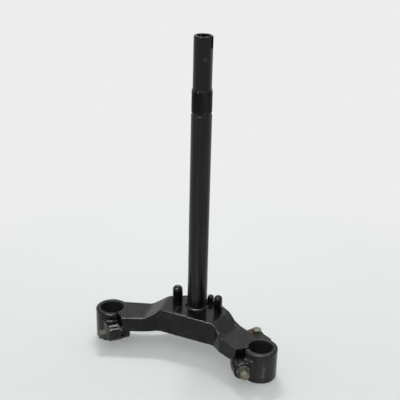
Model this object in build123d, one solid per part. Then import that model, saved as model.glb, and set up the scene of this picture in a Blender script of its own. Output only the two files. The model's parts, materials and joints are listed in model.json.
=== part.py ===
from build123d import *
import os
from math import acos, atan2, cos, degrees, hypot, radians, sin, sqrt

# Lower fork bridge of a light scooter, with its welded-in steering stem.
# Millimetres. The origin is on the steering axis at the bearing seat, just above the weld bead.
# +Z runs up the stem, -Y is the front and +X the side that carries the hose bracket.

# Steering stem
STEM_OUTER = 25.4
STEM_BORE = 16.0
STEM_BODY_TOP = 258.7
STEM_FOOT_OUTER = 25.0
STEM_FOOT_DEPTH = 34.5
THREAD_OUTER = 25.0
THREAD_LENGTH = 31.0
THREAD_RELIEF_OUTER = 23.6
THREAD_RELIEF_LENGTH = 1.6
SHOULDER_CHAMFER = 0.6
NECK_OUTER = 22.8
NECK_LENGTH = 63.0
RIM_CHAMFER = 1.0
SLOT_WIDTH = 5.6
SLOT_DEPTH = 14.0

# Fork clamps
FORK_SPACING = 210.2
FORK_LEAD = 38.9
FORK_TUBE_OUTER = 30.0
FORK_TUBE_CLEARANCE = 0.1
CLAMP_OUTER = 42.0
CLAMP_HEIGHT = 41.0
CLAMP_TOP_RADIUS = 2.0
CLAMP_BOTTOM_RADIUS = 3.0
CLAMP_BORE_CHAMFER = 0.7
SLIT_WIDTH = 3.0
SLIT_ANGLE = 40.0

# Pinch ears, measured from the clamp's axis and top
PINCH_REACH = 27.3
PINCH_DEPTH = 21.0
EAR_HEIGHT = 22.0
EAR_EDGE_RADIUS = 1.5
EAR_BLEND_RADIUS = 2.5
FRONT_EAR_FACE = 16.5
FRONT_EAR_END = 38.3
FRONT_EAR_CORNER_RADIUS = 10.5
BACK_EAR_FACE = 12.0
BACK_EAR_END = 35.3
BACK_EAR_CORNER_RADIUS = 7.5
SPOTFACE_MARGIN = 0.6
SPOTFACE_DEPTH = 0.4

# Platform, ramps and arms
ARM_DROP = 10.0
PLATFORM_HALF = 38.0
PLATFORM_FRONT = 33.0
PLATFORM_BACK = 23.0
PLATFORM_BACK_RADIUS = 58.0
SHOULDER_FRONT_RUN = 15.2
SHOULDER_FRONT_LEAD = 13.7
ARM_BACK_CORNER_SIDE = 63.5
ARM_BACK_CORNER_LEAD = 7.3
ARM_FRONT_REACH = 31.5
ARM_BACK_ANGLE = 113.0
RAMP_RUN = 19.4
RAMP_TURN = 9.5
RAMP_CREST_SIDE = 40.0
RAMP_CREST_LEAD = 14.0
RAMP_BEND_RADIUS = 14.0
BRIDGE_DEPTH = 32.5
ARM_UNDERSIDE_RISE = 2.2
PLAN_CORNER_RADIUS = 10.0
TOP_EDGE_RADIUS = 1.6
BOTTOM_EDGE_RADIUS = 2.0

# Hollow underside
WEB_THICKNESS = 8.0
SIDE_WALL = 6.0
STEM_BOSS_OUTER = 40.0
CLAMP_POCKET_WALL = 3.0
RIB_THICKNESS = 6.0
POCKET_CORNER_RADIUS = 3.0

# Weld bead at the stem's foot
WELD_LEG = 2.3
WELD_CROWN_SHARE = 0.6

# Pegs on the platform
STOP_PEG_LEFT_OUTER = 13.2
STOP_PEG_RIGHT_OUTER = 10.6
STOP_PEG_HEIGHT = 21.0
STOP_PEG_SIDE = 29.0
STOP_PEG_BACK = 1.5
LOCK_PEG_OUTER = 8.6
LOCK_PEG_HEIGHT = 11.0
LOCK_PEG_ANGLE = 50.0
LOCK_PEG_GAP = 0.5
PEG_SHANK_OUTER = 7.0
PEG_DOME_SHARE = 0.42

# Pinch bolts
PINCH_BOLT_SHANK = 8.0
PINCH_BOLT_HEX = 10.0
PINCH_BOLT_HEX_HEIGHT = 10.0
PINCH_BOLT_HEX_TURN = 30.0
PINCH_BOLT_FLANGE = 17.0
PINCH_BOLT_FLANGE_HEIGHT = 1.6
PINCH_BOLT_STANDBACK = 1.0
PINCH_CLEARANCE_HOLE = 9.0

# Hose bracket at the back of the right clamp, measured from that clamp's axis and top
BRACKET_ANGLE = 60.0
BRACKET_BOLT_ALONG = -30.4
BRACKET_BOLT_OUT = 17.6
BRACKET_BACK_OUT = 22.3
BRACKET_DROP = 0.8
BRACKET_INNER_REACH = 9.6
BRACKET_TAIL_REACH = 24.1
BRACKET_THICKNESS = 2.5
BRACKET_CORNER_RADIUS = 1.0
BRACKET_GAP = 0.3
BRACKET_BOSS_RADIUS = 8.5
BRACKET_BOSS_REACH = 13.4
BRACKET_BOSS_DEPTH = 18.0
BRACKET_BOLT_SHANK = 6.0
BRACKET_BOLT_LENGTH = 15.0
BRACKET_BOLT_HEX = 10.0
BRACKET_BOLT_HEX_HEIGHT = 4.4
BRACKET_CLEARANCE_HOLE = 6.6

# Raised shoulder along the right arm's back edge
REAR_SHOULDER_RISE = 3.0
REAR_SHOULDER_LENGTH = 13.0
REAR_SHOULDER_WIDTH = 6.2
REAR_SHOULDER_SLOPE = 7.0

# Fits
PRESS_CLEARANCE = 0.03
THREAD_CLEARANCE = 0.05
BOLT_TIP_CHAMFER = 1.0
HEX_CHAMFER = 0.8
CUT_OVERRUN = 1.0

# A face is a side wall when its normal rises less than this
WALL_NORMAL_RISE = 0.1

# Places worked out from the sizes above
CLAMP_AXIS = Vector(FORK_SPACING / 2, -FORK_LEAD)
PLATFORM_TOP = -WELD_LEG
CLAMP_TOP = PLATFORM_TOP - ARM_DROP
CLAMP_BOTTOM = CLAMP_TOP - CLAMP_HEIGHT
CLAMP_RADIUS = CLAMP_OUTER / 2
CLAMP_BORE_RADIUS = FORK_TUBE_OUTER / 2 + FORK_TUBE_CLEARANCE
THREAD_TOP = STEM_BODY_TOP + THREAD_LENGTH
STEM_TOP = THREAD_TOP + NECK_LENGTH
STEM_HOLE_RADIUS = STEM_FOOT_OUTER / 2 + PRESS_CLEARANCE
ARM_UNDERSIDE = -BRIDGE_DEPTH + ARM_UNDERSIDE_RISE
BEYOND = FORK_SPACING
SLIT_DIRECTION = Vector(-1, 0).rotate(Axis.Z, SLIT_ANGLE)

# Right clamp's pinch frame: x out along the slit, y down, z along the bolt towards its head
PINCH_PLANE = Plane(
    origin=(CLAMP_AXIS.X, CLAMP_AXIS.Y, CLAMP_TOP - PINCH_DEPTH),
    x_dir=SLIT_DIRECTION,
    z_dir=SLIT_DIRECTION.rotate(Axis.Z, 90),
)

# Hose bracket's frame: x along the strip towards the outside, y out of the back, z up
BRACKET_PLANE = Plane(
    origin=(CLAMP_AXIS.X, CLAMP_AXIS.Y, CLAMP_TOP - BRACKET_DROP),
    x_dir=Vector(1, 0).rotate(Axis.Z, BRACKET_ANGLE - 90),
    z_dir=(0, 0, 1),
)


def rod(radius, start, end):
    """Cylinder on the local Z axis between two heights."""
    return Pos(0, 0, start) * Cylinder(radius, end - start, align=(Align.CENTER, Align.CENTER, Align.MIN))


def arm_back_corner():
    """Where the back edge turns from the shoulder into the arm."""
    return Vector(ARM_BACK_CORNER_SIDE, -ARM_BACK_CORNER_LEAD)


def platform_back_end():
    """Where the platform's round back runs smoothly into the straight shoulder edge."""
    centre = Vector(0, PLATFORM_BACK - PLATFORM_BACK_RADIUS)
    to_corner = arm_back_corner() - centre
    turn = degrees(acos(PLATFORM_BACK_RADIUS / to_corner.length))
    return centre + (to_corner.normalized() * PLATFORM_BACK_RADIUS).rotate(Axis.Z, turn)


def arm_back_end():
    """Where the arm's back edge runs into the clamp barrel."""
    return CLAMP_AXIS + Vector(CLAMP_RADIUS, 0).rotate(Axis.Z, ARM_BACK_ANGLE)


def half_plan(inner_side):
    """Right half of the bridge seen from above, from the plane x = inner_side outwards."""
    front_start = Vector(inner_side, -PLATFORM_FRONT)
    front_turn = Vector(PLATFORM_HALF, -PLATFORM_FRONT)
    arm_turn = front_turn + Vector(SHOULDER_FRONT_RUN, -SHOULDER_FRONT_LEAD)
    arm_end = CLAMP_AXIS + SLIT_DIRECTION * ARM_FRONT_REACH
    back_middle_drop = PLATFORM_BACK_RADIUS - sqrt(PLATFORM_BACK_RADIUS**2 - inner_side**2)
    back_start = Vector(inner_side, PLATFORM_BACK - back_middle_drop)
    front = FilletPolyline(front_start, front_turn, arm_turn, arm_end, radius=PLAN_CORNER_RADIUS)
    clamp_side = Polyline(arm_end, CLAMP_AXIS, arm_back_end())
    back = FilletPolyline(arm_back_end(), arm_back_corner(), platform_back_end(), radius=PLAN_CORNER_RADIUS)
    round_back = RadiusArc(platform_back_end(), back_start, -PLATFORM_BACK_RADIUS)
    middle = Line(back_start, front_start)
    return make_face([front, clamp_side, back, round_back, middle])


def ramp_prism(web_drop, extra_depth):
    """Long prism with the platform, ramp and arm levels on top, all lowered by web_drop."""
    turn = radians(RAMP_TURN)
    plane = Plane(
        origin=(RAMP_CREST_SIDE, -RAMP_CREST_LEAD, PLATFORM_TOP - web_drop),
        x_dir=(cos(turn), -sin(turn), 0),
        z_dir=(-sin(turn), -cos(turn), 0),
    )
    top = FilletPolyline(
        (-BEYOND, 0), (0, 0), (RAMP_RUN, -ARM_DROP), (BEYOND, -ARM_DROP), radius=RAMP_BEND_RADIUS
    )
    middle_floor = -BRIDGE_DEPTH - extra_depth
    arm_floor = ARM_UNDERSIDE - extra_depth
    bottom = FilletPolyline(
        (BEYOND, arm_floor),
        (RAMP_RUN, arm_floor),
        (0, middle_floor),
        (-BEYOND, middle_floor),
        radius=RAMP_BEND_RADIUS,
    )
    outer_end = Line((BEYOND, -ARM_DROP), (BEYOND, arm_floor))
    inner_end = Line((-BEYOND, middle_floor), (-BEYOND, 0))
    return extrude(plane * make_face([top, outer_end, bottom, inner_end]), amount=BEYOND, both=True)


def both_sides(half):
    """The right-hand solid with its mirror image on the left."""
    return half + mirror(half, about=Plane.YZ)


def web_blank():
    """Platform, ramps and arms as one solid, with rounded top and bottom edges."""
    column = extrude(half_plan(0), amount=BEYOND, both=True)
    web = both_sides(column & ramp_prism(0, 0))
    web = fillet(wall_edges(web, CLAMP_TOP, PLATFORM_TOP), TOP_EDGE_RADIUS)
    floor = PLATFORM_TOP - BRIDGE_DEPTH
    return fillet(wall_edges(web, floor, floor + ARM_UNDERSIDE_RISE), BOTTOM_EDGE_RADIUS)


def wall_edges(web, lowest, highest):
    """Edges of the side walls between two heights, but for those in the clamps' bores."""
    walls = [face for face in web.faces() if abs(face.normal_at().Z) < WALL_NORMAL_RISE]
    return [edge for wall in walls for edge in wall.edges() if lies_between(edge, lowest, highest)]


def lies_between(edge, lowest, highest):
    """True for an edge between two heights and clear of the clamps' bores."""
    ends = [edge @ 0, edge @ 1]
    reach = min(hypot(abs(end.X) - CLAMP_AXIS.X, end.Y - CLAMP_AXIS.Y) for end in ends)
    box = edge.bounding_box()
    inside = box.min.Z > lowest - CUT_OVERRUN and box.max.Z < highest + CUT_OVERRUN
    return inside and reach > CLAMP_BORE_RADIUS


def underside_pocket():
    """The hollows below the web, with ribs from the stem's boss to the walls and clamps."""
    corner = POCKET_CORNER_RADIUS
    cores = offset(half_plan(RIB_THICKNESS / 2 - SIDE_WALL), -SIDE_WALL - corner)
    cores -= Circle(STEM_BOSS_OUTER / 2 + corner)
    cores -= Pos(CLAMP_AXIS.X, CLAMP_AXIS.Y) * Circle(CLAMP_RADIUS + CLAMP_POCKET_WALL + corner)
    rib_turn = degrees(atan2(CLAMP_AXIS.Y, CLAMP_AXIS.X))
    rib_length = hypot(CLAMP_AXIS.X, CLAMP_AXIS.Y)
    rib = Rectangle(rib_length, RIB_THICKNESS + 2 * corner, align=(Align.MIN, Align.CENTER))
    cores -= Rot(0, 0, rib_turn) * rib
    hollows = Sketch() + [offset(core, corner) for core in cores.faces()]
    column = extrude(hollows, amount=BEYOND, both=True)
    return both_sides(column & ramp_prism(WEB_THICKNESS, BRIDGE_DEPTH))


def clamp_barrel():
    """Right clamp's outer barrel, rounded at both ends."""
    barrel = Pos(CLAMP_AXIS.X, CLAMP_AXIS.Y) * rod(CLAMP_RADIUS, CLAMP_BOTTOM, CLAMP_TOP)
    barrel = fillet(barrel.edges().sort_by(Axis.Z)[-1], CLAMP_TOP_RADIUS)
    return fillet(barrel.edges().sort_by(Axis.Z)[0], CLAMP_BOTTOM_RADIUS)


def ear_section(end, corner_radius):
    """An ear's outline, from the clamp's axis to its rounded end."""
    block = Rectangle(end, EAR_HEIGHT, align=(Align.MIN, Align.CENTER))
    return fillet(block.vertices().sort_by(Axis.X)[-2:], corner_radius)


def pinch_ears():
    """Right clamp's two ears, before the slit parts them."""
    ears = extrude(ear_section(FRONT_EAR_END, FRONT_EAR_CORNER_RADIUS), amount=FRONT_EAR_FACE)
    ears += extrude(ear_section(BACK_EAR_END, BACK_EAR_CORNER_RADIUS), amount=-BACK_EAR_FACE)
    front = ears.faces().sort_by(Axis.Z)[-1]
    back = ears.faces().sort_by(Axis.Z)[0]
    ears = fillet(front.edges() + back.edges(), EAR_EDGE_RADIUS)
    return PINCH_PLANE * ears


def clamp_blank():
    """Right clamp's barrel and ears, blended where they meet."""
    barrel = clamp_barrel()
    ears = pinch_ears()
    blank = barrel + ears
    seam = new_edges(barrel, ears, combined=blank)
    return fillet(seam, EAR_BLEND_RADIUS)


def bolt_seat():
    """How far the spot face under the pinch bolt's flange lies from the slit's middle."""
    return FRONT_EAR_FACE - SPOTFACE_DEPTH


def clamp_cuts():
    """Everything cut out of the right clamp: bore, slit, bolt holes and the spot face."""
    bore = rod(CLAMP_BORE_RADIUS, CLAMP_BOTTOM - CUT_OVERRUN, CLAMP_TOP + CUT_OVERRUN)
    mouth = CLAMP_BORE_RADIUS + CLAMP_BORE_CHAMFER
    cone_down = Cone(mouth, CLAMP_BORE_RADIUS, CLAMP_BORE_CHAMFER)
    cone_up = Cone(CLAMP_BORE_RADIUS, mouth, CLAMP_BORE_CHAMFER)
    bore += Pos(0, 0, CLAMP_BOTTOM + CLAMP_BORE_CHAMFER / 2) * cone_down
    bore += Pos(0, 0, CLAMP_TOP - CLAMP_BORE_CHAMFER / 2) * cone_up
    cuts = Pos(CLAMP_AXIS.X, CLAMP_AXIS.Y) * bore
    slit_reach = max(ARM_FRONT_REACH, FRONT_EAR_END) + SLIT_WIDTH
    slit = Box(slit_reach, 3 * CLAMP_HEIGHT, SLIT_WIDTH, align=(Align.MIN, Align.CENTER, Align.CENTER))
    clearance_hole = rod(PINCH_CLEARANCE_HOLE / 2, 0, FRONT_EAR_FACE)
    tapped_hole = rod(PINCH_BOLT_SHANK / 2 + THREAD_CLEARANCE, -BACK_EAR_FACE - SIDE_WALL, 0)
    spot_face = rod(PINCH_BOLT_FLANGE / 2 + SPOTFACE_MARGIN, bolt_seat(), FRONT_EAR_FACE + CLAMP_RADIUS)
    cuts += PINCH_PLANE * slit
    return cuts + PINCH_PLANE * (Pos(PINCH_REACH, 0) * (clearance_hole + tapped_hole + spot_face))


def weld_bead():
    """Rounded bead between the stem and the platform."""
    inner = STEM_HOLE_RADIUS
    outer = inner + WELD_LEG
    crown_rise = WELD_LEG * WELD_CROWN_SHARE
    outline = Polyline((inner, WELD_LEG), (inner, -WELD_LEG), (outer, -WELD_LEG), (outer, 0))
    crown = ThreePointArc((outer, 0), (inner + crown_rise, crown_rise), (inner, WELD_LEG))
    return Pos(0, 0, PLATFORM_TOP) * revolve(Plane.XZ * make_face([outline, crown]), Axis.Z)


def bracket_boss():
    """Boss behind the right arm that the hose bracket lies on."""
    section = Circle(BRACKET_BOSS_RADIUS)
    section += Rectangle(2 * BRACKET_BOSS_RADIUS, BRACKET_BOSS_REACH, align=(Align.CENTER, Align.MAX))
    boss = extrude(section, amount=-BRACKET_BOSS_DEPTH)
    return bracket_seat() * boss


def bracket_seat():
    """Bolt's place on top of the boss, under the bracket."""
    return BRACKET_PLANE * Pos(BRACKET_BOLT_ALONG, BRACKET_BOLT_OUT, -BRACKET_THICKNESS)


def rear_shoulder():
    """Raised crescent that carries the right ramp's foot along the arm's back edge."""
    corner = arm_back_corner()
    up_ramp = corner + (platform_back_end() - corner).normalized() * REAR_SHOULDER_LENGTH
    along_arm = (arm_back_end() - corner).normalized()
    tip = corner + along_arm * REAR_SHOULDER_LENGTH
    inside = corner + along_arm.rotate(Axis.Z, -90) * REAR_SHOULDER_WIDTH
    crescent = make_face([ThreePointArc(up_ramp, inside, tip), Polyline(tip, corner, up_ramp)])
    blank = Pos(0, 0, CLAMP_TOP - WEB_THICKNESS / 2) * extrude(crescent, amount=WEB_THICKNESS)
    slope = radians(REAR_SHOULDER_SLOPE)
    top = Plane(
        origin=(corner.X, corner.Y, CLAMP_TOP + REAR_SHOULDER_RISE / 2),
        z_dir=along_arm * sin(slope) + Vector(0, 0, cos(slope)),
    )
    return split(blank, bisect_by=top, keep=Keep.BOTTOM)


def peg_places():
    """Name, plan position, diameter and height of each peg on the platform."""
    lock_reach = STEM_HOLE_RADIUS + WELD_LEG + LOCK_PEG_GAP + LOCK_PEG_OUTER / 2
    lock = Vector(lock_reach, 0).rotate(Axis.Z, LOCK_PEG_ANGLE)
    return {
        "stop_peg_left": (-STOP_PEG_SIDE, STOP_PEG_BACK, STOP_PEG_LEFT_OUTER, STOP_PEG_HEIGHT),
        "stop_peg_right": (STOP_PEG_SIDE, STOP_PEG_BACK, STOP_PEG_RIGHT_OUTER, STOP_PEG_HEIGHT),
        "lock_peg": (lock.X, lock.Y, LOCK_PEG_OUTER, LOCK_PEG_HEIGHT),
    }


def fork_bridge():
    """The forging: web, two split clamps, ears, boss and bead, less every hole."""
    bridge = web_blank() - underside_pocket()
    bridge += rod(STEM_BOSS_OUTER / 2, PLATFORM_TOP - BRIDGE_DEPTH, PLATFORM_TOP - WEB_THICKNESS / 2)
    bridge += both_sides(clamp_blank())
    bridge += bracket_boss()
    bridge += rear_shoulder()
    bridge += weld_bead()
    bridge -= both_sides(clamp_cuts())
    bridge -= rod(STEM_HOLE_RADIUS, -BEYOND, BEYOND)
    peg_hole = rod(PEG_SHANK_OUTER / 2 + PRESS_CLEARANCE, -WEB_THICKNESS - CUT_OVERRUN, CUT_OVERRUN)
    for x, y, _, _ in peg_places().values():
        bridge -= Pos(x, y, PLATFORM_TOP) * peg_hole
    bolt_hole = rod(BRACKET_BOLT_SHANK / 2 + THREAD_CLEARANCE, -BRACKET_BOLT_LENGTH, CUT_OVERRUN)
    return bridge - bracket_seat() * bolt_hole


def steering_stem():
    """Turned tube: body, thread section with its relief, and slotted neck."""
    relief_top = STEM_BODY_TOP + THREAD_RELIEF_LENGTH
    profile = Polyline(
        (STEM_BORE / 2, PLATFORM_TOP - STEM_FOOT_DEPTH),
        (STEM_FOOT_OUTER / 2, PLATFORM_TOP - STEM_FOOT_DEPTH),
        (STEM_FOOT_OUTER / 2, 0),
        (STEM_OUTER / 2, 0),
        (STEM_OUTER / 2, STEM_BODY_TOP - SHOULDER_CHAMFER),
        (STEM_OUTER / 2 - SHOULDER_CHAMFER, STEM_BODY_TOP),
        (THREAD_RELIEF_OUTER / 2, STEM_BODY_TOP),
        (THREAD_RELIEF_OUTER / 2, relief_top),
        (THREAD_OUTER / 2, relief_top + (THREAD_OUTER - THREAD_RELIEF_OUTER) / 2),
        (THREAD_OUTER / 2, THREAD_TOP - SHOULDER_CHAMFER),
        (THREAD_OUTER / 2 - SHOULDER_CHAMFER, THREAD_TOP),
        (NECK_OUTER / 2, THREAD_TOP),
        (NECK_OUTER / 2, STEM_TOP - RIM_CHAMFER),
        (NECK_OUTER / 2 - RIM_CHAMFER, STEM_TOP),
        (STEM_BORE / 2 + RIM_CHAMFER, STEM_TOP),
        (STEM_BORE / 2, STEM_TOP - RIM_CHAMFER),
        close=True,
    )
    tube = revolve(Plane.XZ * make_face(profile), Axis.Z)
    slot = Box(NECK_OUTER, SLOT_WIDTH, 2 * SLOT_DEPTH, align=(Align.MIN, Align.CENTER, Align.CENTER))
    return tube - Pos(0, 0, STEM_TOP) * slot


def peg(x, y, outer, height):
    """Round-topped peg with a shank pressed through the platform."""
    head = rod(outer / 2, 0, height)
    head = fillet(head.edges().sort_by(Axis.Z)[-1], outer * PEG_DOME_SHARE)
    return Pos(x, y, PLATFORM_TOP) * (head + rod(PEG_SHANK_OUTER / 2, -WEB_THICKNESS, 0))


def hex_head(across, height):
    """Hexagon head standing on z = 0, with its top corners chamfered."""
    hexagon = extrude(RegularPolygon(across / 2, 6, major_radius=False), amount=height)
    corner_radius = across / sqrt(3)
    turned = rod(corner_radius, 0, height)
    turned = chamfer(turned.edges().sort_by(Axis.Z)[-1], HEX_CHAMFER)
    return hexagon & turned


def bolt_shank(outer, length):
    """Shank that hangs below z = 0, with a chamfered tip."""
    shank = rod(outer / 2, -length, 0)
    return chamfer(shank.edges().sort_by(Axis.Z)[0], BOLT_TIP_CHAMFER)


def pinch_bolt():
    """Hexagon flange bolt of the right clamp, done up in its ears."""
    flange = rod(PINCH_BOLT_FLANGE / 2, 0, PINCH_BOLT_FLANGE_HEIGHT)
    cone_height = PINCH_BOLT_FLANGE_HEIGHT
    cone = Cone(PINCH_BOLT_FLANGE / 2, PINCH_BOLT_HEX / 2, cone_height)
    flange += Pos(0, 0, PINCH_BOLT_FLANGE_HEIGHT + cone_height / 2) * cone
    hexagon = Rot(0, 0, PINCH_BOLT_HEX_TURN) * hex_head(PINCH_BOLT_HEX, PINCH_BOLT_HEX_HEIGHT)
    length = bolt_seat() + BACK_EAR_FACE - PINCH_BOLT_STANDBACK
    bolt = flange + Pos(0, 0, PINCH_BOLT_FLANGE_HEIGHT) * hexagon + bolt_shank(PINCH_BOLT_SHANK, length)
    return PINCH_PLANE * (Pos(PINCH_REACH, 0, bolt_seat()) * bolt)


def hose_bracket():
    """Flat strip bolted on the boss, with a tail that follows the back of the clamp barrel."""
    inner = BRACKET_BOLT_ALONG - BRACKET_INNER_REACH
    length = BRACKET_INNER_REACH + BRACKET_TAIL_REACH
    strip = Pos(inner, 0) * Rectangle(length, BRACKET_BACK_OUT, align=(Align.MIN, Align.MIN))
    strip -= Circle(CLAMP_RADIUS + BRACKET_GAP)
    arm = Pos(0, 0, BRACKET_PLANE.origin.Z) * offset(half_plan(0), BRACKET_GAP)
    strip -= BRACKET_PLANE.to_local_coords(arm)
    strip = offset(offset(strip, -BRACKET_CORNER_RADIUS), BRACKET_CORNER_RADIUS)
    plate = extrude(strip, amount=-BRACKET_THICKNESS)
    hole = rod(BRACKET_CLEARANCE_HOLE / 2, -CUT_OVERRUN, BRACKET_THICKNESS + CUT_OVERRUN)
    return BRACKET_PLANE * plate - bracket_seat() * hole


def hose_bracket_bolt():
    """Hexagon bolt through the bracket into the boss."""
    head = hex_head(BRACKET_BOLT_HEX, BRACKET_BOLT_HEX_HEIGHT)
    shank = bolt_shank(BRACKET_BOLT_SHANK, BRACKET_BOLT_LENGTH)
    return bracket_seat() * (Pos(0, 0, BRACKET_THICKNESS) * (head + shank))


def build_nodes():
    """Every piece by its node name."""
    right_bolt = pinch_bolt()
    nodes = {
        "fork_bridge": fork_bridge(),
        "steering_stem": steering_stem(),
        "pinch_bolt_right": right_bolt,
        "pinch_bolt_left": mirror(right_bolt, about=Plane.YZ),
        "hose_bracket": hose_bracket(),
        "hose_bracket_bolt": hose_bracket_bolt(),
    }
    for name, place in peg_places().items():
        nodes[name] = peg(*place)
    return nodes


os.makedirs("parts", exist_ok=True)
for name, node in build_nodes().items():
    export_step(node, os.path.join("parts", name + ".step"))
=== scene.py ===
import json
from math import cos, radians, sin, tau

import bmesh
import bpy
from bpy.props import FloatProperty, FloatVectorProperty, IntProperty, PointerProperty
from mathutils import Matrix, Vector, noise


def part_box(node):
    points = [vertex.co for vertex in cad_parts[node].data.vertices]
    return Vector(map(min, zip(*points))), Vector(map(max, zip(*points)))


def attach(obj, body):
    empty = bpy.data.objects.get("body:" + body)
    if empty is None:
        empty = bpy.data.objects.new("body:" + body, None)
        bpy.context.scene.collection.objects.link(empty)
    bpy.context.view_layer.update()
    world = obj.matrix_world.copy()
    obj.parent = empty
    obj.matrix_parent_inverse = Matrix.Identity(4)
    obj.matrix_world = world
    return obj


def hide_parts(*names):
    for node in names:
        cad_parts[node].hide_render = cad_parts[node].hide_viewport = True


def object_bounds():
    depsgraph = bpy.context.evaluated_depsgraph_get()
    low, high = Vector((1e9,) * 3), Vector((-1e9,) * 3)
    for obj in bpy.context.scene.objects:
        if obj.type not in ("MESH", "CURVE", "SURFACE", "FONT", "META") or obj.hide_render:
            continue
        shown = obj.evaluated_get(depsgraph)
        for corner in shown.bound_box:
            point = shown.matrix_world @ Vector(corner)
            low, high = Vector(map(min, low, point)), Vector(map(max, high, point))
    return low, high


bl_info = {
    "name": "Fork bridge finish",
    "version": (1, 0, 0),
    "blender": (4, 5, 0),
    "location": "3D View > Sidebar > Fork bridge",
    "description": "Dresses a lower fork bridge with thread, weld, paint, plating and a plain stage",
    "category": "Object",
}

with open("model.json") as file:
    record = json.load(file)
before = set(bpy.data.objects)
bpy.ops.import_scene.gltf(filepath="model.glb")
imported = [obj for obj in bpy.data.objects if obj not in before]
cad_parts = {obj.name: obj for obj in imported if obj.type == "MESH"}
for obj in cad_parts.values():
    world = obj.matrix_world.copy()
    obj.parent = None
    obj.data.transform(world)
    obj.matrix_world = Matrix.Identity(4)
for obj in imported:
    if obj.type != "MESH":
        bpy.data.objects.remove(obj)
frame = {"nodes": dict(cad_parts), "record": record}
CAD_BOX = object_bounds()

MM = 0.001
MOUNTS = {mount["name"]: mount for mount in frame["record"]["mounts"]}

# Half widths of the thread's ridge in pitches, its sink in depths and its run-out in turns
RIDGE_SUNK_HALF = 0.46
RIDGE_ROOT_HALF = 0.44
RIDGE_CREST_HALF = 0.08
RIDGE_SINK = 0.25
RIDGE_RUN_OUT = 0.5

# Weld bead's sink and base in legs, its steps over the crown and how its ripples wander
BEAD_SINK = 1 / 3
BEAD_BASE = 1.2
BEAD_STEPS = 8
WANDER_WIDTH = 4 * MM
WANDER_TURN = 1.5

# Points closer than this are one, and faces that meet at less than these angles are shaded as one
MERGE_DISTANCE = 0.001 * MM
STEM_SMOOTH_ANGLE = radians(30)
WELD_SMOOTH_ANGLE = radians(50)

# How far the light runs round the edges of the forging, small pieces and cut threads, and its samples
FORGED_EDGE = 2 * MM
FINE_EDGE = 0.4 * MM
THREAD_EDGE = 0.05 * MM
EDGE_SAMPLES = 8

# Width and height of the unevenness of each skin
FORGED_SKIN = (14 * MM, 0.08 * MM)
ORANGE_PEEL = (2.5 * MM, 0.01 * MM)
TUBE_SKIN = (3 * MM, 0.01 * MM)
PLATED_SKIN = (1.5 * MM, 0.03 * MM)
STRIP_SKIN = (1.2 * MM, 0.05 * MM)

# How fine patches are, how ragged stains are, and how matt haze, painted sheen streaks, stains and rust are
PATCH_DETAIL = 4.0
RAGGED_WIDTH = 3 * MM
HAZE_ROUGHNESS = 0.3
SHEEN_ROUGHNESS = 0.4
STAIN_ROUGHNESS = 0.6
RUST_ROUGHNESS = 0.7

# How much a wall's normal rises where streaks end and where they are full
STREAK_END_RISE = 0.4
STREAK_FULL_RISE = 0.1

# Facets of the floor's rim, and the watts that make a square metre of lamp as bright as white paper
FLOOR_SEGMENTS = 96
LAMP_WATTS = 4

# Stains and painted reflections in mm: colour, centre, where each is full, where it ends and its height
# over its width
STAINS = {
    "fork_bridge": (
        # Painted reflection: a lighter patch low on the right barrel
        ("barrel_sheen", (116.0, -56.0, -38.0), 6.0, 20.0, 2.0),
        # Painted highlight: a narrow bright streak down the right barrel
        ("dust_and_sheen", (116.2, -56.7, -38.0), 0.5, 3.5, 5.0),
        ("dirt", (98.9, -58.6, -15.0), 4.0, 12.0, 1.0),
        ("dirt", (92.0, -64.0, -30.0), 3.0, 9.0, 1.0),
        ("plum", (104.8, -59.9, -43.7), 1.0, 5.0, 1.0),
        ("film", (105.1, -38.9, -33.0), 17.0, 18.0, 9.0),
        ("film", (-105.1, -38.9, -33.0), 17.0, 18.0, 9.0),
    ),
    "steering_stem": (("scuff", (7.3, -8.8, 326.6), 0.5, 4.0, 1.0),),
    "pinch_bolts": (
        ("zinc_dark", (-97.0, -72.0, -33.3), 9.0, 16.0, 1.0),
        ("zinc_dark", (94.5, -68.8, -33.3), 8.5, 10.5, 1.0),
        ("rust", (89.0, -70.0, -36.0), 1.5, 5.0, 1.0),
    ),
    "hose_bracket": (("rust_pale", (80.0, -12.6, -11.0), 3.0, 9.0, 1.0),),
    "hose_bracket_bolt": (("rust", (82.5, -10.0, -8.0), 1.5, 5.0, 1.0),),
}


def mount_radius(name):
    """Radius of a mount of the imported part, in metres."""
    return MOUNTS[name]["dims"]["r_mm"] * MM


def linear(hex_colour):
    """Linear red, green and blue of an sRGB hex colour."""
    channels = [int(hex_colour[place:place + 2], 16) / 255 for place in (1, 3, 5)]
    return tuple(c / 12.92 if c <= 0.04045 else ((c + 0.055) / 1.055) ** 2.4 for c in channels)


def length_property(name, millimetres, description):
    """A length that a user may change, with its default in millimetres."""
    return FloatProperty(
        name=name, description=description, default=millimetres * MM, unit="LENGTH", precision=5
    )


def angle_property(name, degrees, description):
    """An angle that a user may change, with its default in degrees."""
    return FloatProperty(name=name, description=description, default=radians(degrees), subtype="ANGLE")


def level_property(name, level, description):
    """A brightness that a user may change, where white paper is about 1."""
    return FloatProperty(name=name, description=description, default=level, min=0)


def colour_property(name, hex_colour, description):
    """A colour that a user may change, with its default as an sRGB hex value."""
    colour = linear(hex_colour)
    return FloatVectorProperty(
        name=name, description=description, default=colour, subtype="COLOR", size=3, min=0, max=1
    )


def place_property(name, metres, description):
    """A place that a user may change, with its default in metres."""
    return FloatVectorProperty(
        name=name, description=description, default=metres, subtype="XYZ", unit="LENGTH"
    )


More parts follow.
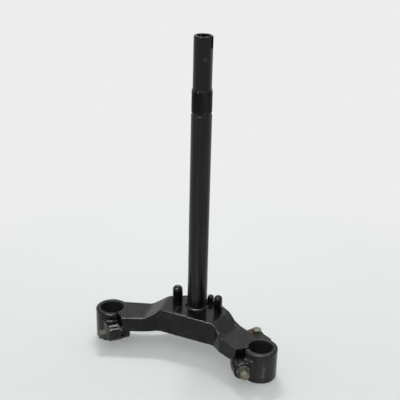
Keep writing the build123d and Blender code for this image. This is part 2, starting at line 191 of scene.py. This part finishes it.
class StemSizes(bpy.types.PropertyGroup):
    """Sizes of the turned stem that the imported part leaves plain."""

    body_top: length_property("Body top", 258.7, "Height of the shoulder under the thread")
    thread_top: length_property("Thread top", 289.7, "Height of the step where the neck starts")
    relief_length: length_property("Relief length", 1.6, "Length of the groove below the thread")
    relief_depth: length_property("Relief depth", 0.7, "Depth of that groove below the thread's crest")
    edge_chamfer: length_property("Edge chamfer", 0.6, "Chamfer on the shoulder and the thread's end")
    rim_chamfer: length_property("Rim chamfer", 1.0, "Chamfer inside and outside the top rim")
    foot_inset: length_property("Foot inset", 0.2, "How much thinner the welded foot is, on the radius")
    slot_width: length_property("Slot width", 5.6, "Width of the slot in the rim")
    slot_depth: length_property("Slot depth", 14.0, "Depth of the slot in the rim")
    slot_splay: length_property("Slot splay", 0.35, "How far the slot's lips are bent out")
    thread_pitch: length_property("Thread pitch", 1.0, "Distance from one turn to the next")
    thread_depth: length_property("Thread depth", 0.6, "Depth of the thread from crest to root")
    around: IntProperty(name="Steps around", description="Facets around the stem", default=96, min=24)


class WeldSizes(bpy.types.PropertyGroup):
    """Sizes of the weld bead at the stem's foot."""

    leg: length_property("Leg", 2.3, "Height and width of the bead")
    crown: length_property("Crown", 0.25, "How far the bead bulges over a straight chamfer")
    ripple: length_property("Ripple", 0.1, "Height of the ripples left by the welding passes")
    ripples: IntProperty(name="Ripples", description="Number of ripples around the stem", default=34, min=4)
    around: IntProperty(name="Steps around", description="Facets around the bead", default=272, min=48)


class FinishColours(bpy.types.PropertyGroup):
    """Colours of the paint, plating, rust, dirt and painted reflections."""

    enamel: colour_property("Enamel", "#0b090c", "Gloss black enamel of the forging")
    enamel_worn: colour_property("Enamel haze", "#262327", "Dulled enamel with dust on it")
    stem: colour_property("Stem paint", "#0c0b0d", "Satin black paint of the stem")
    # Painted reflection: lighter streaks that grow towards the stem's foot
    stem_sheen: colour_property("Stem dust", "#404041", "Dusty streaks on the stem")
    thread: colour_property("Thread steel", "#2c2c2e", "Oiled dark steel of the thread")
    thread_oil: colour_property("Thread oil", "#201f20", "Old oil on the thread")
    # Painted reflection: lighter streaks low on the forging's walls, and a bright streak on the right
    # barrel
    dust_and_sheen: colour_property("Dust", "#626164", "Grey dust and scuffs on the forging's walls")
    # Painted reflection: a lighter patch low on the right barrel
    barrel_sheen: colour_property("Bloom", "#323033", "Thin grey bloom on the clamp's side")
    zinc: colour_property("Aged zinc", "#84816e", "Yellowed zinc on the pinch bolts")
    zinc_dark: colour_property("Olive grime", "#36352a", "Dark olive grime on the plating")
    grey_zinc: colour_property("Dull zinc", "#6a7168", "Grey-green zinc of the small bolt")
    strip: colour_property("Strip", "#2b2e28", "Dull grey-green strip")
    rust: colour_property("Rust", "#5e3322", "Red-brown rust")
    rust_pale: colour_property("Pale rust", "#523930", "Pinkish dry rust")
    rust_dark: colour_property("Dark rust", "#2a201b", "Dark brown, half-grown rust")
    dirt: colour_property("Dirt", "#14120d", "Olive-brown dirt in the corners of the forging")
    plum: colour_property("Plum", "#33202a", "Reddish stain on the clamp")
    film: colour_property("Film", "#131111", "Film of old grease and rust in the bores")
    scuff: colour_property("Scuff", "#34332f", "Scuffed paint on the stem's neck")


class StageSettings(bpy.types.PropertyGroup):
    """Camera, floor and light."""

    camera_place: place_property("Camera place", (0.4123, -0.8996, 0.5773), "Where the camera stands")
    yaw: angle_property("Yaw", 24.592, "Heading, left of +Y")
    pitch: angle_property("Pitch", 23.484, "Look down")
    roll: angle_property("Roll", 1.382, "Lean to the left")
    lens: FloatProperty(name="Lens", description="Focal length in millimetres", default=78.565, min=1)
    sensor: FloatProperty(name="Sensor", description="Sensor width in millimetres", default=36.0, min=1)
    floor: colour_property("Floor", "#dadedd", "Pale floor near the object")
    floor_far: colour_property("Far floor", "#ededed", "Pale background into which the floor goes over")
    floor_reach: length_property("Floor reach", 9000, "Floor's radius")
    fade_start: length_property("Fade start", 150, "Where the floor starts to fade")
    fade_end: length_property("Fade end", 650, "Where it has faded")
    back_level: level_property("Back level", 0.74, "Room light behind the part")
    front_level: level_property("Front level", 0.22, "Room light in front of it")
    tube_place: place_property("Tube place", (-0.45, 0.7, 1.16), "Where the lamp behind the part hangs")
    tube_length: length_property("Tube length", 500, "Length of that lamp")
    tube_width: length_property("Tube width", 100, "Width of that lamp")
    tube_level: level_property("Tube level", 38.0, "Brightness of that lamp")
    edge_place: place_property("Edge place", (-0.04, -0.8, 1.05), "Where the front edges' lamp hangs")
    edge_length: length_property("Edge length", 950, "Length of that lamp")
    edge_width: length_property("Edge width", 150, "Width of that lamp")
    edge_level: level_property("Edge level", 52.0, "Brightness of that lamp")
    glint_left: place_property("Glint left", (-0.43, -0.52, 1.105), "Where the small left lamp hangs")
    glint_right: place_property("Glint right", (0.585, -0.17, 1.145), "Where the small right lamp hangs")
    glint_top: place_property("Glint top", (0.156, 0.351, 1.24), "Where the small lamp overhead hangs")
    glint_size: length_property("Glint size", 60, "Side of a small lamp")
    glint_level: level_property("Glint level", 155.0, "Brightness of a small lamp")


def make_piece(name, mesh_data, material, replaced=()):
    """Object for a finished bmesh, riding on the part's one body."""
    mesh = bpy.data.meshes.new(name)
    mesh_data.to_mesh(mesh)
    mesh_data.free()
    piece = bpy.data.objects.new(name, mesh)
    bpy.context.scene.collection.objects.link(piece)
    mesh.materials.append(material)
    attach(piece, "root")
    if replaced:
        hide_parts(*replaced)
    return piece


def paint_node(name, material):
    """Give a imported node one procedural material."""
    slots = frame["nodes"][name].data.materials
    slots.clear()
    slots.append(material)


def draw_outline(mesh_data, points):
    """Corners and edges of a closed outline in the XZ plane, from points given as radius and height."""
    corners = [mesh_data.verts.new((radius, 0, height)) for radius, height in points]
    ends = corners[1:] + corners[:1]
    return corners, [mesh_data.edges.new(pair) for pair in zip(corners, ends)]


def lathe(mesh_data, points, steps):
    """Turn a closed outline round the Z axis into a closed ring."""
    corners, edges = draw_outline(mesh_data, points)
    bmesh.ops.spin(
        mesh_data,
        geom=corners + edges,
        axis=(0, 0, 1),
        cent=(0, 0, 0),
        angle=tau,
        steps=steps,
        use_merge=True,
    )
    bmesh.ops.remove_doubles(mesh_data, verts=mesh_data.verts, dist=MERGE_DISTANCE)
    bmesh.ops.recalc_face_normals(mesh_data, faces=mesh_data.faces)


def add(tree, kind, inputs=(), **settings):
    """Add a node; inputs pairs each socket with a value or with another node's output."""
    node = tree.nodes.new(kind)
    for setting, value in settings.items():
        setattr(node, setting, value)
    for socket, value in dict(inputs).items():
        if isinstance(value, bpy.types.NodeSocket):
            tree.links.new(value, node.inputs[socket])
        else:
            node.inputs[socket].default_value = value
    return node


def new_material(name):
    """Empty node material with its output, and the object's own coordinates."""
    material = bpy.data.materials.new(name)
    material.use_nodes = True
    tree = material.node_tree
    tree.nodes.clear()
    output = add(tree, "ShaderNodeOutputMaterial")
    place = add(tree, "ShaderNodeTexCoord").outputs["Object"]
    return material, tree, output, place


def opaque(colour):
    """Colour with full alpha."""
    return (*colour, 1)


def patches(tree, place, width, start, full):
    """Mask of ragged patches of about the width; start and full are noise levels at their rims."""
    clouds = {"Vector": place, "Scale": 1 / width, "Detail": PATCH_DETAIL}
    pattern = add(tree, "ShaderNodeTexNoise", clouds)
    levels = {"Value": pattern.outputs["Fac"], "From Min": start, "From Max": full}
    return add(tree, "ShaderNodeMapRange", levels).outputs["Result"]


def sheen_streaks(tree, place, width, tall, start, full, clear, thick):
    """Mask of painted sheen streaks down walls: patches drawn out along the Z axis, none on faces that look
    up.

    clear and thick are the heights where the streaks end and where they are strongest.
    """
    stretch = {"Vector": place, "Scale": (1, 1, 1 / tall)}
    drawn_out = add(tree, "ShaderNodeMapping", stretch).outputs["Vector"]
    streaks = patches(tree, drawn_out, width, start, full)
    normal = add(tree, "ShaderNodeNewGeometry").outputs["Normal"]
    limits = ((normal, STREAK_END_RISE, STREAK_FULL_RISE), (place, clear, thick))
    for vector, end, strongest in limits:
        upward = add(tree, "ShaderNodeSeparateXYZ", {"Vector": vector}).outputs["Z"]
        levels = {"Value": upward, "From Min": end, "From Max": strongest}
        share = add(tree, "ShaderNodeMapRange", levels).outputs["Result"]
        streaks = add(tree, "ShaderNodeMath", {0: streaks, 1: share}, operation="MULTIPLY").outputs["Value"]
    return streaks


def stain(tree, place, centre, full, reach, tall):
    """Mask of one ragged stain, full near its centre, gone at its reach and drawn out along the Z axis."""
    shake = add(tree, "ShaderNodeTexNoise", {"Vector": place, "Scale": 1 / RAGGED_WIDTH}, normalize=False)
    shift = {0: shake.outputs["Color"], 1: (RAGGED_WIDTH, RAGGED_WIDTH, RAGGED_WIDTH), 2: place}
    ragged = add(tree, "ShaderNodeVectorMath", shift, operation="MULTIPLY_ADD").outputs["Vector"]
    off = add(tree, "ShaderNodeVectorMath", {0: ragged, 1: centre}, operation="SUBTRACT").outputs["Vector"]
    squeeze = {0: off, 1: (1, 1, 1 / tall)}
    off = add(tree, "ShaderNodeVectorMath", squeeze, operation="MULTIPLY").outputs["Vector"]
    distance = add(tree, "ShaderNodeVectorMath", {0: off}, operation="LENGTH").outputs["Value"]
    fade = {"Value": distance, "From Min": reach, "From Max": full}
    return add(tree, "ShaderNodeMapRange", fade, interpolation_type="SMOOTHSTEP").outputs["Result"]


def stains_on(piece, colours):
    """Layers for the stains and painted reflections listed for a piece."""
    layers = []
    for colour, centre, full, reach, tall in STAINS[piece]:
        sizes = {"centre": Vector(centre) * MM, "full": full * MM, "reach": reach * MM, "tall": tall}
        layers.append((stain, sizes, getattr(colours, colour), STAIN_ROUGHNESS))
    return layers


def layered(name, ground, layers, edge, skins):
    """Material with a clean ground, layers of dust, grime and stains over it, and an uneven surface.

    ground pairs the shader's sockets with their values. Each layer holds the function that makes its mask,
    that function's sizes, a colour and a roughness. edge is how far sharp edges are worn round, and skins
    holds the width and height of each unevenness.
    """
    material, tree, output, place = new_material(name)
    looks = dict(ground)
    for pattern, sizes, colour, roughness in layers:
        mask = pattern(tree, place, **sizes)
        coat = {"Base Color": opaque(colour), "Roughness": roughness}
        if "Metallic" in ground:
            coat["Metallic"] = 0.0
        for socket, value in coat.items():
            kind = "RGBA" if socket == "Base Color" else "FLOAT"
            blend = {"Factor": mask, "A": looks[socket], "B": value}
            looks[socket] = add(tree, "ShaderNodeMix", blend, data_type=kind).outputs["Result"]
    normal = add(tree, "ShaderNodeBevel", {"Radius": edge}, samples=EDGE_SAMPLES).outputs["Normal"]
    for width, height in skins:
        skin = add(tree, "ShaderNodeTexNoise", {"Vector": place, "Scale": 1 / width})
        rise = {"Distance": height, "Height": skin.outputs["Fac"], "Normal": normal}
        normal = add(tree, "ShaderNodeBump", rise).outputs["Normal"]
    shader = add(tree, "ShaderNodeBsdfPrincipled", {**looks, "Normal": normal})
    tree.links.new(shader.outputs["BSDF"], output.inputs["Surface"])
    return material


def enamel(name, colours, edge, stains=()):
    """Black enamel brushed over a forged and blasted skin.

    Deep black and glossy: the room lies on it in broad soft shapes that its orange peel and the forging's
    own unevenness break up, and dusty clouds dull it here and there. Lighter streaks of painted reflection
    run down its walls and grow towards the bottom.
    """
    ground = {"Base Color": opaque(colours.enamel), "Roughness": 0.15, "IOR": 1.34}
    haze = {"width": 7 * MM, "start": 0.48, "full": 0.8}
    # Painted reflection: lighter streaks on the walls that grow towards the bottom
    sheen_runs = {
        "width": 3 * MM,
        "tall": 12,
        "start": 0.4,
        "full": 1.2,
        "clear": -20 * MM,
        "thick": -48 * MM,
    }
    layers = [
        (patches, haze, colours.enamel_worn, HAZE_ROUGHNESS),
        (sheen_streaks, sheen_runs, colours.dust_and_sheen, SHEEN_ROUGHNESS),
        *stains,
    ]
    return layered(name, ground, layers, edge, (FORGED_SKIN, ORANGE_PEEL))


def satin_paint(name, colours, stains):
    """Thin black paint on a turned tube.

    Satin, with long faint lighter streaks of painted reflection along the tube that grow towards its foot.
    """
    ground = {"Base Color": opaque(colours.stem), "Roughness": 0.15, "IOR": 1.32}
    # Painted reflection: lighter streaks on the tube that grow towards its foot
    streaks = {
        "width": 2.2 * MM,
        "tall": 40,
        "start": 0.42,
        "full": 0.85,
        "clear": 350 * MM,
        "thick": 0.0,
    }
    layers = [(sheen_streaks, streaks, colours.stem_sheen, SHEEN_ROUGHNESS), *stains]
    return layered(name, ground, layers, FINE_EDGE, (TUBE_SKIN,))


def oiled_steel(name, colours):
    """Bare cut steel, black with old oil.

    A dark metal whose crests catch a narrow line of light.
    """
    ground = {"Base Color": opaque(colours.thread), "Roughness": 0.22, "Metallic": 1.0}
    oil = {"width": 6 * MM, "start": 0.45, "full": 1.2}
    layers = [(patches, oil, colours.thread_oil, HAZE_ROUGHNESS)]
    return layered(name, ground, layers, THREAD_EDGE, ())


def plating(name, clean, dirty, stains):
    """Zinc plating that has gone dull.

    A soft metal shine, broken by patches of grime and by rust where the plating is through.
    """
    ground = {"Base Color": opaque(clean), "Roughness": 0.38, "Metallic": 1.0}
    grime = {"width": 4 * MM, "start": 0.45, "full": 0.75}
    layers = [(patches, grime, dirty, STAIN_ROUGHNESS), *stains]
    return layered(name, ground, layers, FINE_EDGE, (PLATED_SKIN,))


def weathered_strip(name, colours, stains):
    """Mild steel strip with thin, dull, half-rusted plating.

    Matt and greyish green, going to a pinkish brown where it has rusted.
    """
    ground = {
        "Base Color": opaque(colours.strip),
        "Roughness": 0.5,
        "IOR": 1.4,
        "Specular IOR Level": 0.2,
    }
    half_rust = {"width": 5 * MM, "start": 0.48, "full": 0.75}
    layers = [(patches, half_rust, colours.rust_dark, RUST_ROUGHNESS), *stains]
    return layered(name, ground, layers, FINE_EDGE, (STRIP_SKIN,))


def stem_outline(sizes):
    """Closed outline of the turned tube as radius and height, with the thread cut down to its root."""
    low, high = (corner[2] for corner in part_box("steering_stem"))
    bore = mount_radius("stem_bore")
    body = mount_radius("steering_stem")
    crest = mount_radius("headset_thread")
    neck = mount_radius("handlebar_neck")
    foot = body - sizes.foot_inset
    root = crest - sizes.thread_depth
    relief = crest - sizes.relief_depth
    relief_top = sizes.body_top + sizes.relief_length
    return [
        (bore, low),
        (foot, low),
        (foot, 0),
        (body, 0),
        (body, sizes.body_top - sizes.edge_chamfer),
        (body - sizes.edge_chamfer, sizes.body_top),
        (relief, sizes.body_top),
        (relief, relief_top),
        (root, relief_top),
        (root, sizes.thread_top),
        (neck, sizes.thread_top),
        (neck, high - sizes.rim_chamfer),
        (neck - sizes.rim_chamfer, high),
        (bore + sizes.rim_chamfer, high),
        (bore, high - sizes.rim_chamfer),
    ]


def slot_cutter(sizes):
    """Block that cuts the slot through the rim on the +X side."""
    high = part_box("steering_stem")[1][2]
    reach = 2 * mount_radius("handlebar_neck")
    block = bmesh.new()
    bmesh.ops.create_cube(block, size=1)
    bmesh.ops.scale(block, vec=(reach, sizes.slot_width, 2 * sizes.slot_depth), verts=block.verts)
    bmesh.ops.translate(block, vec=(reach / 2, 0, high), verts=block.verts)
    mesh = bpy.data.meshes.new("slot_cutter")
    block.to_mesh(mesh)
    block.free()
    cutter = bpy.data.objects.new("slot_cutter", mesh)
    bpy.context.scene.collection.objects.link(cutter)
    return cutter


def cut_away(piece, cutter):
    """Take the cutter's volume out of the piece for good."""
    cut = piece.modifiers.new("cut", "BOOLEAN")
    cut.object = cutter
    cut.operation = "DIFFERENCE"
    cut.solver = "EXACT"
    depsgraph = bpy.context.evaluated_depsgraph_get()
    solid = piece.data
    piece.data = bpy.data.meshes.new_from_object(piece.evaluated_get(depsgraph))
    piece.modifiers.clear()
    bpy.data.meshes.remove(solid)
    bpy.data.objects.remove(cutter)


def splay_lips(mesh, sizes):
    """Bend the slot's two lips outwards at the rim, as a tightened clamp leaves them."""
    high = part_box("steering_stem")[1][2]
    lip = sizes.slot_width / 2
    for vertex in mesh.vertices:
        x, y, z = vertex.co
        at_lip = x > 0 and abs(y) < 2 * lip and z > high - 2 * sizes.rim_chamfer
        if at_lip:
            share = 1 - max(0, abs(y) - lip) / lip
            vertex.co += Vector((x, y, 0)).normalized() * sizes.slot_splay * share


def thread_ridge(sizes):
    """One helical ridge with the thread's section, run out at both ends."""
    pitch = sizes.thread_pitch
    crest = mount_radius("headset_thread")
    root = crest - sizes.thread_depth
    start = sizes.body_top + sizes.relief_length + pitch
    turns = int((sizes.thread_top - start) / pitch) - 1
    sunk = root - sizes.thread_depth * RIDGE_SINK
    flank = [(sunk, RIDGE_SUNK_HALF), (root, RIDGE_ROOT_HALF), (crest, RIDGE_CREST_HALF)]
    section = [(radius, start - half * pitch) for radius, half in flank]
    section += [(radius, start + half * pitch) for radius, half in reversed(flank)]
    ridge = bmesh.new()
    corners, edges = draw_outline(ridge, section)
    face = ridge.faces.new(corners)
    steps = sizes.around // 2
    bmesh.ops.spin(
        ridge,
        geom=[*corners, *edges, face],
        axis=(0, 0, 1),
        cent=(0, 0, 0),
        dvec=(0, 0, pitch / steps),
        angle=tau * turns,
        steps=steps * turns,
    )
    bmesh.ops.recalc_face_normals(ridge, faces=ridge.faces)
    end = start + turns * pitch
    for vertex in ridge.verts:
        radius = vertex.co.xy.length
        room = min(vertex.co.z - start, end - vertex.co.z) / pitch + RIDGE_RUN_OUT
        if radius > root:
            run_out = sunk + (radius - sunk) * max(0, min(1, room))
            vertex.co.xy *= run_out / radius
    return ridge


def shade_smooth(piece, sharp_angle):
    """Smooth shading that keeps edges sharper than the angle."""
    piece.data.shade_smooth()
    piece.data.set_sharp_from_angle(angle=sharp_angle)


class TurnStem(bpy.types.Operator):
    """Turn the steering stem with its thread and slotted rim"""

    bl_idname = "fork_bridge.turn_stem"
    bl_label = "Turn the stem"

    def execute(self, context):
        sizes = context.scene.fork_stem
        colours = context.scene.fork_colours
        material = satin_paint("satin_black_paint", colours, stains_on("steering_stem", colours))
        paint_node("steering_stem", material)
        tube = bmesh.new()
        lathe(tube, stem_outline(sizes), sizes.around)
        stem = make_piece("turned_stem", tube, material, ["steering_stem"])
        cut_away(stem, slot_cutter(sizes))
        splay_lips(stem.data, sizes)
        shade_smooth(stem, STEM_SMOOTH_ANGLE)
        steel = oiled_steel("oiled_steel", colours)
        thread = make_piece("headset_thread", thread_ridge(sizes), steel)
        shade_smooth(thread, STEM_SMOOTH_ANGLE)
        return {"FINISHED"}


def bead_outline(sizes):
    """Closed section of the weld bead, as radius and height."""
    inner = mount_radius("steering_stem")
    sunk = inner - sizes.leg * BEAD_SINK
    base = -sizes.leg * BEAD_BASE
    toe = Vector((inner + sizes.leg, -sizes.leg))
    top = Vector((inner, 0))
    bulge = Vector((1, 1)).normalized() * sizes.crown
    shares = [step / BEAD_STEPS for step in range(BEAD_STEPS + 1)]
    crown = [toe.lerp(top, share) + bulge * sin(tau / 2 * share) for share in shares]
    return [(sunk, base), (toe.x, base), *(tuple(point) for point in crown), (sunk, 0)]


def ripple_bead(bead, sizes):
    """Raise the ripples of the welding passes on a smooth bead."""
    inner = mount_radius("steering_stem")
    middle = Vector((inner, -sizes.leg))
    for vertex in bead.verts:
        radius = vertex.co.xy.length
        out = Vector((radius, vertex.co.z)) - middle
        if out.x > 0 and out.y > 0:
            turn = vertex.co.xy.angle_signed(Vector((1, 0)), 0)
            wander = noise.noise(vertex.co / WANDER_WIDTH)
            pass_height = abs(sin(sizes.ripples / 2 * turn + WANDER_TURN * wander))
            rise = sizes.ripple * pass_height * sin(tau / 4 * min(1, 2 * out.x / sizes.leg))
            push = out.normalized() * rise
            vertex.co.xy *= (radius + push.x) / radius
            vertex.co.z += push.y


class LayWeld(bpy.types.Operator):
    """Lay the rippled weld bead round the stem's foot"""

    bl_idname = "fork_bridge.lay_weld"
    bl_label = "Lay the weld"

    def execute(self, context):
        sizes = context.scene.fork_weld
        colours = context.scene.fork_colours
        bead = bmesh.new()
        lathe(bead, bead_outline(sizes), sizes.around)
        ripple_bead(bead, sizes)
        paint = enamel("painted_weld", colours, FINE_EDGE)
        weld = make_piece("weld_bead", bead, paint)
        shade_smooth(weld, WELD_SMOOTH_ANGLE)
        return {"FINISHED"}


class PaintForging(bpy.types.Operator):
    """Enamel the forged bridge and its pegs"""

    bl_idname = "fork_bridge.paint_forging"
    bl_label = "Paint the forging"

    def execute(self, context):
        colours = context.scene.fork_colours
        stains = stains_on("fork_bridge", colours)
        paint_node("fork_bridge", enamel("gloss_black_enamel", colours, FORGED_EDGE, stains))
        peg_paint = enamel("peg_black", colours, FINE_EDGE)
        for name in ("stop_peg_left", "stop_peg_right", "lock_peg"):
            paint_node(name, peg_paint)
        return {"FINISHED"}


class PlateBolts(bpy.types.Operator):
    """Plate the bolts and weather the hose bracket"""

    bl_idname = "fork_bridge.plate_bolts"
    bl_label = "Plate the bolts"

    def execute(self, context):
        colours = context.scene.fork_colours
        old_stains = stains_on("pinch_bolts", colours)
        aged = plating("aged_zinc", colours.zinc, colours.zinc_dark, old_stains)
        for name in ("pinch_bolt_left", "pinch_bolt_right"):
            paint_node(name, aged)
        small_stains = stains_on("hose_bracket_bolt", colours)
        dull = plating("dull_zinc", colours.grey_zinc, colours.strip, small_stains)
        paint_node("hose_bracket_bolt", dull)
        strip_stains = stains_on("hose_bracket", colours)
        paint_node("hose_bracket", weathered_strip("rusty_strip", colours, strip_stains))
        return {"FINISHED"}


def heading(stage):
    """Level direction in which the camera looks."""
    return Vector((-sin(stage.yaw), cos(stage.yaw), 0))


def camera_matrix(stage):
    """Camera's place and turn from its heading, its look down and its lean."""
    ahead = heading(stage)
    level = Vector((cos(stage.yaw), sin(stage.yaw), 0))
    up = Vector((0, 0, 1))
    look = ahead * cos(stage.pitch) - up * sin(stage.pitch)
    tall = up * cos(stage.pitch) + ahead * sin(stage.pitch)
    right = level * cos(stage.roll) + tall * sin(stage.roll)
    top = tall * cos(stage.roll) - level * sin(stage.roll)
    turn = Matrix((right, top, -look)).transposed()
    return Matrix.Translation(stage.camera_place) @ turn.to_4x4()


def seen_rays(tree):
    """Mask of the rays that show the background: seen straight, mirrored or through something clear."""
    ray = add(tree, "ShaderNodeLightPath").outputs
    bent = {0: ray["Is Glossy Ray"], 1: ray["Is Transmission Ray"]}
    bent_rays = add(tree, "ShaderNodeMath", bent, operation="MAXIMUM").outputs["Value"]
    seen = {0: bent_rays, 1: ray["Is Camera Ray"]}
    return add(tree, "ShaderNodeMath", seen, operation="MAXIMUM").outputs["Value"]


def floor_material(stage):
    """Matt pale floor that goes over into the pale background further out."""
    material, tree, output, place = new_material("pale_floor")
    distance = add(tree, "ShaderNodeVectorMath", {0: place}, operation="LENGTH").outputs["Value"]
    spread = {"Value": distance, "From Min": stage.fade_start, "From Max": stage.fade_end}
    far = add(tree, "ShaderNodeMapRange", spread, interpolation_type="SMOOTHSTEP").outputs["Result"]
    share = add(tree, "ShaderNodeMath", {0: far, 1: seen_rays(tree)}, operation="MULTIPLY").outputs["Value"]
    near = add(tree, "ShaderNodeBsdfDiffuse", {"Color": opaque(stage.floor)}).outputs["BSDF"]
    back = add(tree, "ShaderNodeEmission", {"Color": opaque(stage.floor_far)}).outputs["Emission"]
    shader = add(tree, "ShaderNodeMixShader", {0: share, 1: near, 2: back})
    tree.links.new(shader.outputs["Shader"], output.inputs["Surface"])
    return material


def soft_room(stage):
    """Room light that is stronger behind the part than in front of it, seen as a pale background."""
    world = bpy.data.worlds.new("soft_room")
    world.use_nodes = True
    tree = world.node_tree
    tree.nodes.clear()
    toward = add(tree, "ShaderNodeTexCoord").outputs["Generated"]
    depth = add(tree, "ShaderNodeVectorMath", {0: toward, 1: heading(stage)}, operation="DOT_PRODUCT")
    levels = {
        "Value": depth.outputs["Value"],
        "From Min": -1.0,
        "From Max": 1.0,
        "To Min": stage.front_level,
        "To Max": stage.back_level,
    }
    level = add(tree, "ShaderNodeMapRange", levels).outputs["Result"]
    white = {"Color": opaque((1, 1, 1)), "Strength": level}
    light = add(tree, "ShaderNodeBackground", white).outputs["Background"]
    backdrop = add(tree, "ShaderNodeBackground", {"Color": opaque(stage.floor_far)}).outputs["Background"]
    shader = add(tree, "ShaderNodeMixShader", {0: seen_rays(tree), 1: light, 2: backdrop})
    add(tree, "ShaderNodeOutputWorld", {"Surface": shader.outputs["Shader"]})
    return world


def hang_lamp(scene, name, place, length, width, level, shadow):
    """Flat lamp that faces the part; level is how bright its face is."""
    data = bpy.data.lights.new(name, "AREA")
    data.shape = "RECTANGLE"
    data.size = length
    data.size_y = width
    data.energy = level * LAMP_WATTS * length * width
    data.use_shadow = shadow
    lamp = bpy.data.objects.new(name, data)
    lamp.location = place
    lamp.rotation_euler = (-Vector(place)).to_track_quat("-Z", "Y").to_euler()
    scene.collection.objects.link(lamp)
    return lamp


class SetStage(bpy.types.Operator):
    """Set the floor, the light and the camera"""

    bl_idname = "fork_bridge.set_stage"
    bl_label = "Set the stage"

    def execute(self, context):
        scene = context.scene
        stage = scene.fork_stage
        scene.view_settings.view_transform = "Standard"
        floor_data = bmesh.new()
        bmesh.ops.create_circle(
            floor_data, cap_ends=True, segments=FLOOR_SEGMENTS, radius=stage.floor_reach
        )
        bmesh.ops.translate(floor_data, verts=floor_data.verts, vec=(0, 0, CAD_BOX[0][2]))
        floor_mesh = bpy.data.meshes.new("floor")
        floor_data.to_mesh(floor_mesh)
        floor_data.free()
        floor_mesh.materials.append(floor_material(stage))
        floor = bpy.data.objects.new("floor", floor_mesh)
        scene.collection.objects.link(floor)

        scene.world = soft_room(stage)
        tube_sizes = (stage.tube_length, stage.tube_width, stage.tube_level)
        hang_lamp(scene, "tube", stage.tube_place, *tube_sizes, shadow=True)
        # The edges' lamp shows in shiny finishes only, so it leaves the floor as it is
        edge_sizes = (stage.edge_length, stage.edge_width, stage.edge_level)
        edge = hang_lamp(scene, "edge", stage.edge_place, *edge_sizes, shadow=True)
        edge.visible_diffuse = False
        glint_sizes = (stage.glint_size, stage.glint_size, stage.glint_level)
        for name in ("glint_left", "glint_right", "glint_top"):
            hang_lamp(scene, name, getattr(stage, name), *glint_sizes, shadow=False)

        camera_data = bpy.data.cameras.new("camera")
        camera_data.sensor_fit = "HORIZONTAL"
        camera_data.sensor_width = stage.sensor
        camera_data.lens = stage.lens
        camera = bpy.data.objects.new("camera", camera_data)
        camera.matrix_world = camera_matrix(stage)
        scene.collection.objects.link(camera)
        scene.camera = camera
        return {"FINISHED"}


OPERATORS = (TurnStem, LayWeld, PaintForging, PlateBolts, SetStage)
PROPERTIES = {
    "fork_stem": StemSizes,
    "fork_weld": WeldSizes,
    "fork_colours": FinishColours,
    "fork_stage": StageSettings,
}


class ForkBridgePanel(bpy.types.Panel):
    """Sidebar panel with every step"""

    bl_idname = "VIEW3D_PT_fork_bridge"
    bl_label = "Fork bridge"
    bl_space_type = "VIEW_3D"
    bl_region_type = "UI"
    bl_category = "Fork bridge"

    def draw(self, context):
        for step in OPERATORS:
            self.layout.operator(step.bl_idname)


def register():
    """Register the classes and hang the properties on the scene."""
    for item in (*PROPERTIES.values(), *OPERATORS, ForkBridgePanel):
        bpy.utils.register_class(item)
    for name, group in PROPERTIES.items():
        setattr(bpy.types.Scene, name, PointerProperty(type=group))


def unregister():
    """Take the properties and classes away again."""
    for name in PROPERTIES:
        delattr(bpy.types.Scene, name)
    for item in (ForkBridgePanel, *reversed(OPERATORS), *PROPERTIES.values()):
        bpy.utils.unregister_class(item)


def main():
    """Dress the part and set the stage."""
    register()
    for step in OPERATORS:
        group, action = step.bl_idname.split(".")
        getattr(getattr(bpy.ops, group), action)()


if __name__ == "__main__":
    main()
